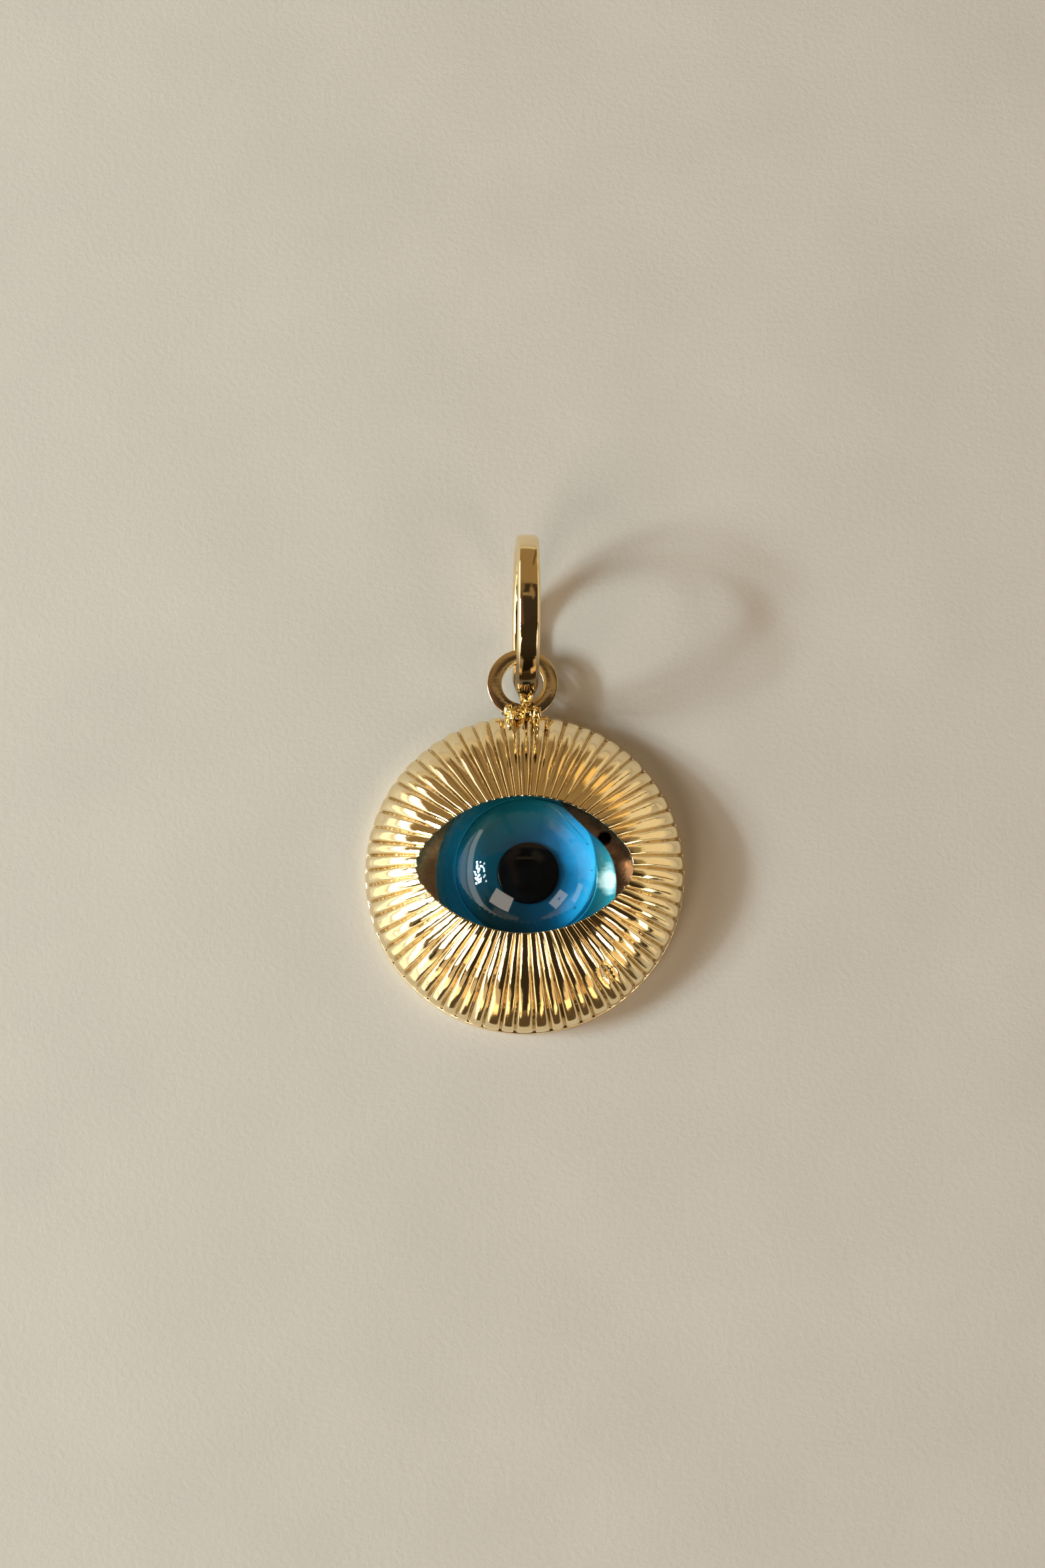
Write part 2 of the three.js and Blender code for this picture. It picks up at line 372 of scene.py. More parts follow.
fluted_gold = gold(
    "fluted_gold", LIGHT_GOLD, DEEP_GOLD, (0.03, 0.1), 0.0000012, radial=True, dark=shade_in_grooves
)
plate_gold = gold("plate_gold", LIGHT_GOLD, DEEP_GOLD, (0.1, 0.24), 0.000003, dark=shade_under_vent)
loop_gold = gold("loop_gold", LIGHT_GOLD, DEEP_GOLD, (0.08, 0.15), 0.0000006)
bail_gold = gold("bail_gold", LIGHT_GOLD, DEEP_GOLD, (0.02, 0.07), 0.0000006, dark=near_tip)
solder_gold = gold("solder_gold", LIGHT_SOLDER, DEEP_SOLDER, (0.05, 0.16), 0.000004)


def seat_material():
    """Smooth metal with a warm brown cast; painted shade makes it darker and redder towards its
    right-hand side, where the glass dome shades it, and near-black round its vent hole.
    """
    s = Shader("seat_gold")
    s.set(Metallic=1.0)
    # painted shade: the seat darkens from left to right, where the glass dome would shade it
    across = s.spread(s.dot(s.place, (1 / MM, 0, 0)), -8, 8, 0.0, 0.8)
    uneven = s.maths("MULTIPLY", s.noise(200, 3, 0.4), 0.14)
    tone = s.ramp(
        s.maths("ADD", across, uneven),
        (0.12, (0.8, 0.58, 0.42)),
        (0.5, (0.3, 0.19, 0.12)),
        (0.95, (0.2, 0.085, 0.055)),
    )
    # painted shade in and round the vent hole
    vent_hole_shade = s.spread(s.distance(*VENT), VENT_RADIUS, VENT_RADIUS + 0.15, 0.97, 0.0)
    s.colour(s.blend(vent_hole_shade, tone, VENT_SHADE))
    s.link(s.spread(s.noise(900, 4, 0.6), 0.3, 0.7, 0.22, 0.32), s.bsdf.inputs["Roughness"])
    s.bump(s.noise(900, 3, 0.5), 0.000001)
    return s.material


def glass_material():
    """Faintly aqua glass that lets the lamps' light through to what lies in it."""
    s = Shader("aqua_glass")
    s.set(Transmission_Weight=1.0, IOR=1.5, Roughness=0.018)
    s.colour(s.ramp(s.noise(160, 3, 0.5), (0.35, (0.62, 0.9, 0.95)), (0.7, (0.7, 0.94, 0.98))))
    s.bump(s.noise(300, 3, 0.5), 0.0000012)
    clear = s.node("ShaderNodeBsdfTransparent")
    clear.inputs["Color"].default_value = (0.95, 1.0, 1.0, 1)
    mix = s.node("ShaderNodeMixShader")
    rays = s.node("ShaderNodeLightPath")
    s.link(rays.outputs["Is Shadow Ray"], mix.inputs[0])
    s.link(s.bsdf.outputs[0], mix.inputs[1])
    s.link(clear.outputs[0], mix.inputs[2])
    s.link(mix.outputs[0], s.tree.nodes["Material Output"].inputs["Surface"])
    return s.material


def iris_material():
    """Azure glass with clouds and tiny bubbles, and painted light: a painted caustic makes it bright
    to the right, painted shade makes it deep teal to the left and at the top, and it glows faintly.
    """
    s = Shader("iris_glass")
    # the faint emission is a painted glow
    s.set(Roughness=0.3, IOR=1.3, Emission_Strength=0.1)
    # painted light: brighter to the right, where the dome would focus the key light, and painted
    # shade to the left
    along = s.dot(s.place, (0.99 / MM, 0.05 / MM, 0))
    cloud = s.spread(s.noise(380, 4, 0.55), 0.3, 0.7, -0.35, 0.35)
    # painted light and shade spots at the upper right, middle right and lower right
    painted_light_spot = s.spread(s.distance(2.4, 1.5), 0.2, 1.7, 0.5, 0.0)
    painted_shade_spot = s.spread(s.distance(2.3, -0.8), 0.2, 1.3, -0.35, 0.0)
    low = s.spread(s.distance(2.9, -2.5), 0.3, 1.6, 0.55, 0.0)
    painted_spots = s.maths("ADD", s.maths("ADD", painted_light_spot, painted_shade_spot), low)
    # depth holds the painted light across the iris, together with the clouds
    depth = s.maths("ADD", s.maths("ADD", along, cloud), painted_spots)
    colour = s.ramp(
        s.spread(depth, -3.9, 3.9, 0.0, 1.0),
        (0.0, (0.001, 0.17, 0.36)),
        (0.12, (0.001, 0.12, 0.2)),
        (0.24, (0.001, 0.05, 0.075)),
        (0.44, (0.001, 0.036, 0.06)),
        (0.65, (0.001, 0.05, 0.1)),
        (0.75, (0.002, 0.085, 0.18)),
        (0.82, (0.005, 0.17, 0.36)),
        (0.9, (0.014, 0.29, 0.58)),
        (1.0, (0.03, 0.46, 0.8)),
    )
    # painted shade: darker teal towards the top
    high = s.spread(s.dot(s.place, (-0.3 / MM, 1 / MM, 0)), 1.6, 3.2, 0.0, 0.85)
    colour = s.blend(high, colour, (0.002, 0.1, 0.125))
    bubbles = s.spread(s.noise(2600, 1, 0.4), 0.74, 0.78, 0.0, 0.6)
    colour = s.blend(bubbles, colour, (0.002, 0.03, 0.07))
    s.colour(colour)
    # the same colour glows: a painted glow
    s.link(colour, s.bsdf.inputs["Emission Color"])
    s.bump(s.noise(1200, 3, 0.5), 0.000003)
    return s.material


def backing_material():
    """Teal glass, bluer beside the iris and greener at its edge, with painted light: painted shade
    towards the top, a painted caustic as a bright cyan patch at the far right, and a faint glow all
    over.
    """
    s = Shader("backing_glass")
    s.set(Roughness=0.3, IOR=1.3)
    out = s.maths("ADD", s.distance(EYE_X, 0), s.maths("MULTIPLY", s.noise(500, 4, 0.5), 0.8))
    colour = s.ramp(
        s.spread(out, 4.1, 6.3, 0.0, 1.0),
        (0.0, (0.008, 0.24, 0.42)),
        (0.35, (0.01, 0.22, 0.38)),
        (0.6, (0.01, 0.17, 0.25)),
        (1.0, (0.012, 0.2, 0.25)),
    )
    # painted shade towards the top
    upper_shade = s.spread(s.dot(s.place, (0, 1 / MM, 0)), 2.0, 4.2, 0.0, 0.9)
    colour = s.blend(upper_shade, colour, (0.008, 0.12, 0.12))
    # painted light: brighter teal towards the right
    right = s.spread(s.distance(5.2, -0.5), 0.9, 2.6, 0.9, 0.0)
    colour = s.blend(right, colour, (0.03, 0.38, 0.44))
    # painted caustic highlight: a bright cyan patch with streaky edges at the far right
    streaks = s.noise(900, 3, 0.6, s.stretched((0.15, 1.6, 1.0)))
    reach = s.maths("ADD", s.distance(5.0, -0.6), s.maths("MULTIPLY", streaks, 1.5))
    painted_caustic = s.spread(reach, 1.15, 1.75, 1.0, 0.0)
    colour = s.blend(painted_caustic, colour, (0.86, 1.0, 0.97))
    s.colour(colour)
    # painted glow: faint everywhere, strongest in the caustic patch
    s.link(colour, s.bsdf.inputs["Emission Color"])
    s.link(s.spread(painted_caustic, 0.0, 1.0, 0.12, 0.5), s.bsdf.inputs["Emission Strength"])
    return s.material


def pupil_material():
    """Opaque black glass with the faintest blue bloom."""
    s = Shader("pupil_glass")
    s.set(Roughness=0.2, IOR=1.2)
    bloom = s.noise(900, 3, 0.5)
    s.colour(s.ramp(bloom, (0.4, (0.001, 0.001, 0.001)), (0.8, (0.003, 0.004, 0.006))))
    return s.material


# Front cover -------------------------------------------------------------------------------

SHOULDER_SLOPE = math.asin(SHOULDER_RADIUS / DOME_RADIUS)
CURL_RADIUS = (COVER_RADIUS - SHOULDER_RADIUS) / (1 - math.sin(SHOULDER_SLOPE))
CURL_Z = SHOULDER_Z - CURL_RADIUS * math.cos(SHOULDER_SLOPE)
CORNER_X = ALMOND_HALF_WIDTH - ALMOND_CORNER
ARC_RADIUS = (CORNER_X**2 + ALMOND_HALF_HEIGHT**2 - ALMOND_CORNER**2) / (
    2 * (ALMOND_HALF_HEIGHT - ALMOND_CORNER)
)
ARC_DROP = ARC_RADIUS - ALMOND_HALF_HEIGHT
DOME_SHARE = 0.72
CURL_SHARE = 2 / 3
RIM_RELIEF = 0.35
RIM_FADE_FROM = 0.45
INNER_RELIEF = 0.13
GROOVE_FROM = 0.72
LIP_ROUND = 0.09
LIP_ROOM = 0.01
# where the mesh's columns stand across one flute: closest together beside the grooves
FLUTE_PHASES = (0, 0.03, 0.06, 0.095, 0.14, 0.22, 0.32, 0.44)
FLUTE_PHASES += (0.56, 0.68, 0.78, 0.86, 0.905, 0.94, 0.97)
# angle in degrees, distance from the axis, size and depth of each dent
DENTS = ((-52, 8.9, 0.4, 0.1), (160.5, 10.4, 0.3, 0.08), (24, 9.9, 0.35, 0.05))


def dome_height(r):
    rise = math.sqrt(DOME_RADIUS**2 - r**2)
    return SHOULDER_Z + rise - math.sqrt(DOME_RADIUS**2 - SHOULDER_RADIUS**2)


def outside_almond(x, y):
    if x * ARC_DROP > CORNER_X * (y + ARC_DROP):
        return math.hypot(x - CORNER_X, y) - ALMOND_CORNER
    return math.hypot(x, y + ARC_DROP) - ARC_RADIUS


def almond_edge(angle):
    low, high = 0.0, ALMOND_HALF_WIDTH + 1
    for _ in range(30):
        r = (low + high) / 2
        if outside_almond(abs(r * math.cos(angle)), abs(r * math.sin(angle))) < 0:
            low = r
        else:
            high = r
    return low


def sheet_line(share, edge):
    """Radius, height, slope and relief of the sheet at a share of the way from edge to foot."""
    if share <= DOME_SHARE:
        r = lerp(edge, SHOULDER_RADIUS, share / DOME_SHARE)
        return r, dome_height(r), math.asin(r / DOME_RADIUS), r / SHOULDER_RADIUS
    along = (share - DOME_SHARE) / (1 - DOME_SHARE)
    slope = lerp(SHOULDER_SLOPE, math.pi / 2, min(1.0, along / CURL_SHARE))
    wall = max(0.0, (along - CURL_SHARE) / (1 - CURL_SHARE))
    r = COVER_RADIUS - CURL_RADIUS * (1 - math.sin(slope))
    z = CURL_Z + CURL_RADIUS * math.cos(slope)
    relief = lerp(1.0, RIM_RELIEF, smoothstep(RIM_FADE_FROM, 1.0, along))
    return r, lerp(z, FOOT_Z, wall), slope, relief


def flutes(rng):
    """The grooves and the crowned lobes between them, each a little different from the next."""
    made = []
    for i in range(FLUTES):
        angle = TURN * (i + rng.uniform(-0.13, 0.13)) / FLUTES
        low = 0.5 - 0.5 * math.sin(angle + 0.5)
        stops_short = rng.random() < 0.14
        made.append(
            {
                "angle": angle,
                "groove": GROOVE_DEPTH * rng.uniform(0.7, 1.25),
                "beads": lerp(0.016, 0.04, smoothstep(0.0, 1.0, math.cos(angle - 2.4))),
                "start": rng.uniform(5.6, 8.4) if stops_short else 0.0,
                "crown": lerp(0.12, 0.165, low) * rng.uniform(0.75, 1.3),
                "round": rng.uniform(2.0, 3.4),
                "skew": rng.uniform(-0.28, 0.28),
                "ripple": lerp(0.006, 0.022, low),
                "seed": rng.uniform(0, 99),
            }
        )
    return made


def dented(r, angle):
    """How deep the small dents sink the sheet at a place."""
    sink = 0.0
    for degrees, at, size, depth in DENTS:
        turn = (angle - math.radians(degrees) + math.pi) % TURN - math.pi
        away = math.hypot(turn * r, r - at) / size
        if away < 2.5:
            crumple = 1 + 0.8 * noise.noise(Vector((turn * r * 6, r * 6, degrees)))
            sink += depth * crumple * math.exp(-away * away)
    return sink


def cover_column(x, here, after):
    """The cover's points at one angle, and how much painted shade each gets in its groove.

    They run from the foot over the top to the lip and back inside.
    """
    span = (after["angle"] - here["angle"]) % TURN
    angle = here["angle"] + span * x
    edge = almond_edge(angle)
    u = 2 * x - 1
    u += here["skew"] * (1 - u * u)
    groove = here if x < 0.5 else after
    in_groove = smoothstep(GROOVE_FROM, 1.0, abs(2 * x - 1))
    seed = here["seed"]

    def outer(share):
        r, z, slope, relief = sheet_line(share, edge)
        cut = groove["groove"] * in_groove
        if groove["start"]:
            cut *= smoothstep(groove["start"] - 0.6, groove["start"] + 0.6, r)
        bead = groove["beads"] * in_groove * noise.noise(Vector((r * 7.5, groove["seed"], x)))
        crown = here["crown"] * abs(u) ** here["round"]
        long_wave = here["ripple"] * noise.noise(Vector((seed, r * 0.8, x * 1.1)))
        short_wave = 0.3 * here["ripple"] * noise.noise(Vector((seed, r * 2.6, x * 2.2)))
        ends = min(1.0, 5 * share)
        sink = relief * (cut + crown + ends * (bead + long_wave + short_wave))
        sink = max(0.0, sink + dented(r, angle))
        drop = 0.0 if share >= 1 else sink * math.cos(slope)
        return r - sink * math.sin(slope), z - drop

    line = [outer(share) for share in reversed(OUTER_SHARES)]
    # painted shade in the groove bottoms, one value for each point
    groove_shade = [in_groove] * len(line)
    r, z = outer(0.0)
    bead = 0.025 * noise.noise(Vector((angle * 60, 7, 7)))
    line.append((r - 0.25 * LIP_ROUND, z - 0.15 * LIP_ROUND + bead))
    line.append((r - 0.3 * LIP_ROUND, z - 0.7 * LIP_ROUND + bead))
    line.append((r, z - 1.3 * LIP_ROUND))
    for share in INNER_SHARES:
        r, z, slope, relief = sheet_line(share, edge)
        sink = SHEET + INNER_RELIEF * relief
        drop = 0.0 if share >= 1 else sink * math.cos(slope)
        line.append((max(edge + LIP_ROOM, r - sink * math.sin(slope)), z - drop))
    points = []
    for r, z in line:
        turn = angle + wander(r, x, here, after)
        points.append((r * math.cos(turn), r * math.sin(turn), z))
    return points, groove_shade + [0.0] * (len(points) - len(groove_shade))


def wander(r, x, here, after):
    """How far the grooves stray from a straight line, in radians."""
    ends = [noise.noise(Vector((r * 0.7, f["seed"], 3))) for f in (here, after)]
    return 0.006 * lerp(ends[0], ends[1], x)


DOME_ROWS = 58
CURL_ROWS = 12
OUTER_SHARES = [DOME_SHARE * i / DOME_ROWS for i in range(DOME_ROWS + 1)]
OUTER_SHARES += [lerp(DOME_SHARE, 1, (i + 1) / CURL_ROWS) for i in range(CURL_ROWS)]
INNER_SHARES = (0, 0.2, 0.45, DOME_SHARE, 0.82, 0.91, 1)


def front_cover():
    made = flutes(random.Random(11))
    points, groove_shade = [], []
    for here, after in zip(made, made[1:] + made[:1]):
        for x in FLUTE_PHASES:
            column, column_groove_shade = cover_column(x, here, after)
            points += column
            groove_shade += column_groove_shade
    columns = FLUTES * len(FLUTE_PHASES)
    faces = ring_faces(len(points) // columns, columns)
    ob = piece(
        "fluted_cover", points, faces, "pendant", "front_cover", fluted_gold
    )
    # the grooves' painted shade, kept on the points for the gold material
    ob.data.attributes.new("groove_shade", "FLOAT", "POINT").data.foreach_set("value", groove_shade)
    return ob


# Plate, seat and eye -----------------------------------------------------------------------


def back_plate():
    round_off = 0.14
    edge = plate_high.x - round_off
    profile = [(0, 0), (4, 0), (8, 0)]
    profile += arc(edge, round_off, round_off, -math.pi / 2, 0, 6)
    profile += arc(edge, plate_high.z - round_off, round_off, 0, math.pi / 2, 6)
    profile += [(8, plate_high.z), (4, plate_high.z), (0, plate_high.z)]
    points, faces = turned(profile, 256)
    return piece("plate", points, faces, "pendant", "back_plate", plate_gold)


EYE_X = (glass_low.x + glass_high.x) / 2
GLASS_RADIUS = (glass_high.x - glass_low.x) / 2
GLASS_SPHERE = 6.25
GLASS_GIRDLE = 0.3
GLASS_BASE_GAP = 0.02


def bead_outline(angle):
    """The hand-made bead's outline: flatter at its upper right and fuller at its lower right."""

    def swell(degrees, width, height):
        turn = (math.degrees(angle) - degrees + 180) % 360 - 180
        return height * math.exp(-((turn / width) ** 2))

    return 1 + swell(45, 28, -0.2) + swell(-30, 25, 0.055) + swell(200, 15, 0.02)


def glass_dome():
    start = math.acos(GLASS_RADIUS / GLASS_SPHERE)
    base = glass_low.z - GLASS_BASE_GAP
    centre_z = base + GLASS_GIRDLE - GLASS_SPHERE * math.sin(start)
    dome = arc(0, centre_z, GLASS_SPHERE, start, math.pi / 2, 60)
    dome[-1] = (0, dome[-1][1])
    sunk = backing_high.z - 0.03
    profile = [(0, sunk), (3, sunk), (GLASS_RADIUS - 0.2, sunk)]
    profile += arc(GLASS_RADIUS - 0.12, sunk + 0.12, 0.12, -math.pi / 2, 0, 4)
    points, faces = turned(profile + dome, 192)
    shaped = []
    for x, y, z in points:
        reach = math.hypot(x, y) / GLASS_RADIUS
        k = lerp(1, bead_outline(math.atan2(y, x)), reach**4)
        shaped.append((EYE_X + x * k, y * k, z))
    return piece(
        "glass_eye", shaped, faces, "pendant", "glass_dome", glass_material()
    )


def eye_backing():
    radius = (backing_high.x - backing_low.x) / 2
    low, high = backing_low.z, backing_high.z
    profile = [(0, low), (radius - 0.05, low), (radius, low + 0.05), (radius, high - 0.05)]
    inner = (iris_high.x - iris_low.x) / 2 + 0.02
    brim = pupil_high.z - 0.05
    profile += [(radius - 0.05, high), (inner + 0.9, high + 0.03), (inner + 0.4, high + 0.12)]
    profile += [(inner + 0.1, brim - 0.05), (inner, brim), (inner, high), (3, high), (0, high)]
    points, faces = turned(profile, 128)
    shaped = []
    for x, y, z in points:
        k = bead_outline(math.atan2(y, x))
        shaped.append((EYE_X + x * k, y * k, z))
    return piece(
        "backing", shaped, faces, "pendant", "eye_backing", backing_material()
    )


def iris_dish():
    """A shallow dish, hollow towards the front, so that a low lamp lights its far side."""
    radius = (iris_high.x - iris_low.x) / 2
    low = iris_low.z
    rim_z = pupil_high.z - 0.02
    floor_z = iris_high.z
    profile = [(0, low), (radius - 0.05, low), (radius, low + 0.05), (radius, rim_z - 0.06)]
    profile += arc(radius - 0.06, rim_z - 0.06, 0.06, 0, math.pi / 2, 4)[1:]
    rows = 24
    for i in range(1, rows + 1):
        share = 1 - i / rows
        profile.append(((radius - 0.08) * share, lerp(floor_z, rim_z, share**2)))
    points, faces = turned(profile, 160)
    points = moved(points, dx=(iris_low.x + iris_high.x) / 2)
    return piece("iris_dish", points, faces, "pendant", "iris", iris_material())


def pupil_bead():
    radius = (pupil_high.x - pupil_low.x) / 2
    low, high = pupil_low.z, pupil_high.z
    profile = [(0, low), (radius - 0.05, low), (radius, low + 0.05), (radius, high - 0.12)]
    profile += arc(radius - 0.12, high - 0.12, 0.12, 0, math.pi / 2, 5)[1:]
    profile += [(radius * 0.5, high), (0, high)]
    points, faces = turned(profile, 128)
    dx = (pupil_low.x + pupil_high.x) / 2
    dy = (pupil_low.y + pupil_high.y) / 2
    points = moved(points, dx=dx, dy=dy)
    return piece("pupil_bead", points, faces, "pendant", "pupil", pupil_material())


# Loop and bail -----------------------------------------------------------------------------


def rounded_box(half_width, half_height, corner, steps):
    """A rounded rectangle's outline, counter-clockwise from the right-hand side."""
    line = []
    for quarter in range(4):
        sx = 1 if quarter in (0, 3) else -1
        sy = 1 if quarter in (0, 1) else -1
        for i in range(steps + 1):
            a = math.pi / 2 * (quarter + i / steps)
            line.append(
                (
                    sx * (half_width - corner) + corner * math.cos(a),
                    sy * (half_height - corner) + corner * math.sin(a),
                )
            )
    return line


def rim_clear(x, y):
    """A point's Y, moved out until the point clears the cover's rim."""
    reach = COVER_RADIUS + RIM_ROOM
    return max(y, math.sqrt(max(0.0, reach * reach - x * x)))


def hanging_loop():
    """A flat ring with a faintly bowed upper face, its foot cut to the curve of the rim."""
    middle = (LOOP_RADIUS + LOOP_HOLE) / 2
    centre_z = (loop_low.z + loop_high.z) / 2
    half_wire = (LOOP_RADIUS - LOOP_HOLE) / 2
    half_thick = (loop_high.z - loop_low.z) / 2
    section = rounded_box(half_wire, half_thick, LOOP_CORNER, 3)
    columns = 256
    points = []
    for i in range(columns):
        angle = TURN * i / columns
        for across, up in section:
            r = middle + across
            x = LOOP_CENTRE.x + r * math.cos(angle)
            y = LOOP_CENTRE.y + r * math.sin(angle)
            if up > 0:
                up -= LOOP_BOW * ((x - LOOP_CENTRE.x) ** 2 + (y - LOOP_CENTRE.y + 0.8) ** 2)
                up += LOOP_WAVE * noise.noise(Vector((x, y, 0)) * 0.9)
            else:
                up += LOOP_LIFT
            points.append((x, rim_clear(x, y), centre_z + up))
    faces = [tuple(reversed(f)) for f in ring_faces(len(section), columns)]
    return crisp(
        piece("ring_loop", points, faces, "pendant", "hanging_loop", loop_gold)
    )


def lump(name, beads, body, replaced, clear):
    """Solder: overlapping uneven beads melted into one skin, then pressed clear of its neighbours."""
    rng = random.Random(len(beads))
    mesh = bpy.data.meshes.new(name + "_beads")
    points, faces = [], []
    for centre, radii in beads:
        rows, columns = 12, 20
        start = len(points)
        seed = rng.uniform(0, 50)
        for i in range(rows + 1):
            polar_angle = math.pi * i / rows
            for j in range(columns):
                around = TURN * j / columns
                way = Vector(
                    (
                        math.sin(polar_angle) * math.cos(around),
                        math.sin(polar_angle) * math.sin(around),
                        math.cos(polar_angle),
                    )
                )
                swell = 1 + 0.25 * noise.noise(way * 1.6 + Vector((seed, 0, 0)))
                points.append(
                    tuple((centre[k] + way[k] * radii[k] * swell) * MM for k in range(3))
                )
        for i in range(rows):
            for j in range(columns):
                a = start + i * columns + j
                b = start + i * columns + (j + 1) % columns
                faces.append((a, a + columns, b + columns, b))
    mesh.from_pydata(points, [], faces)
    ob = bpy.data.objects.new(name, mesh)
    bpy.context.scene.collection.objects.link(ob)
    remesh = ob.modifiers.new("melt", "REMESH")
    remesh.mode = "VOXEL"
    remesh.voxel_size = SOLDER_GRAIN * MM
    smooth = ob.modifiers.new("soften", "SMOOTH")
    smooth.iterations = 3
    bpy.context.view_layer.update()
    shaped = bpy.data.meshes.new_from_object(
        ob.evaluated_get(bpy.context.evaluated_depsgraph_get())
    )
    ob.modifiers.clear()
    ob.data = shaped
    for vertex in shaped.vertices:
        vertex.co = clear(vertex.co / MM) * MM
    shaped.polygons.foreach_set("use_smooth", [True] * len(shaped.polygons))
    shaped.materials.clear()
    shaped.materials.append(solder_gold)
    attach(ob, body)
    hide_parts(replaced)
    return ob


RUN_START = 10.35
RUN_STEP = 0.28
# across, where it stops and half width of each run of solder down the flutes
RUNS = (
    (-1.0, 8.3, 0.21),
    (-0.12, 9.3, 0.08),
    (0.62, 9.5, 0.12),
    (0.92, 9.2, 0.18),
    (1.5, 9.1, 0.12),
)


def loop_solder():
    """Two crowns of solder with a thin rib between them, and runs that end down the flutes."""
    rng = random.Random(3)
    top = loop_high.z
    x0 = LOOP_CENTRE.x
    beads = [
        ((x0 - 1.05, 10.95, top + 0.1), (0.26, 0.44, 0.36)),
        ((x0 - 0.72, 10.6, top + 0.32), (0.2, 0.5, 0.3)),
        ((x0 - 0.4, 11.05, top + 0.1), (0.14, 0.4, 0.25)),
        ((x0 + 0.02, 10.85, top + 0.22), (0.1, 0.62, 0.34)),
        ((x0 + 0.28, 11.1, top + 0.08), (0.14, 0.34, 0.26)),
        ((x0 + 0.78, 10.9, top + 0.14), (0.27, 0.44, 0.36)),
        ((x0 + 1.14, 10.7, top + 0.16), (0.17, 0.4, 0.28)),
        ((x0, 10.86, top - 0.02), (1.35, 0.4, 0.22)),
    ]
    for x, stop, width in RUNS:
        y = RUN_START
        while y > stop:
            left = (y - stop) / (RUN_START - stop)
            wide = width * lerp(0.55, 1.0, left) * rng.uniform(0.85, 1.15)
            at = (x + rng.uniform(-0.03, 0.03), y, dome_height(math.hypot(x, y)) - 0.06)
            beads.append((at, (wide, 0.3, 0.15)))
            y -= RUN_STEP
    for _ in range(7):
        x = x0 + rng.uniform(-1.2, 1.2)
        size = rng.uniform(0.07, 0.13)
        beads.append(((x, rng.uniform(10.6, 11.2), top + 0.28), (size, size * 1.6, size)))

    def clear(p):
        lift = 1.0
        if abs(p.x) < BAIL_ROOM and p.y > 10.3:
            lift = lerp(0.3, 0.02, smoothstep(11.0, 11.2, p.y))
        return Vector((p.x, p.y, min(max(p.z, top + 0.005), top + lift)))

    return lump("foot_solder", beads, "pendant", "loop_solder", clear)


def tear(angle, tip, top, half_height):
    """A point of the bail's outline: half an ellipse at the top and a pointed half at the tip."""
    cos, sin = math.cos(angle), math.sin(angle)
    power = 1.0 if cos > 0 else 2 / BAIL_POINTED
    along = math.copysign(abs(cos) ** power, cos)
    up = math.copysign(abs(sin) ** power, sin)
    return Vector(((tip + top) / 2 + (top - tip) / 2 * along, half_height * up))


def bail_section():
    """The strip's section: position across its width, share of its depth and inset from there."""
    half, bevel, soft = BAIL_WIDTH / 2, BAIL_BEVEL, 0.025
    flat = half - bevel
    right = [
        (flat - soft, 0, 0),
        (flat + soft * 0.7, 0, soft * 0.7),
        (half - soft * 0.7, 0, bevel - soft * 0.7),
        (half, 0, bevel + soft),
        (half, 1, -bevel - soft),
        (half - soft * 0.7, 1, -bevel + soft * 0.7),
        (flat + soft * 0.7, 1, -soft * 0.7),
        (flat - soft, 1, 0),
    ]
    return right + [(-x, share, inset) for x, share, inset in reversed(right)]


def bail_ring():
    """The strip bent into a pointed oval, narrowed towards its tip and parted for the seam."""
    columns = 360
    section = bail_section()
    gap = (seam_high.z - seam_low.z) / 10
    inner_top = BAIL_LENGTH - BAIL_TOP_DEPTH
    inner_half_height = BAIL_HALF_HEIGHT - BAIL_SIDE_DEPTH
    points = []
    for i in range(columns):
        angle = TURN * (i + 0.5) / columns
        outer = tear(angle, 0, BAIL_LENGTH, BAIL_HALF_HEIGHT)
        inner = tear(angle, BAIL_TIP_DEPTH, inner_top, inner_half_height)
        way = (inner - outer).normalized()
        depth = (inner - outer).length
        unevenness = 0.01 * noise.noise(Vector((outer.x * 0.8, outer.y * 0.8, 5)))
        for x, share, inset in section:
            at = outer + way * (depth * share + inset + unevenness)
            width = lerp(BAIL_TIP_WIDTH, 1.0, smoothstep(0, BAIL_TAPER, at.x))
            up = at.y
            if abs(up) < gap and at.x < BAIL_JOIN:
                up = math.copysign(gap, math.sin(angle))
            points.append(tuple(BAIL_PLACE @ Vector((x * width, at.x, up))))
    faces = ring_faces(len(section), columns)
    return crisp(piece("bail_ring", points, faces, "bail", "bail", bail_gold))


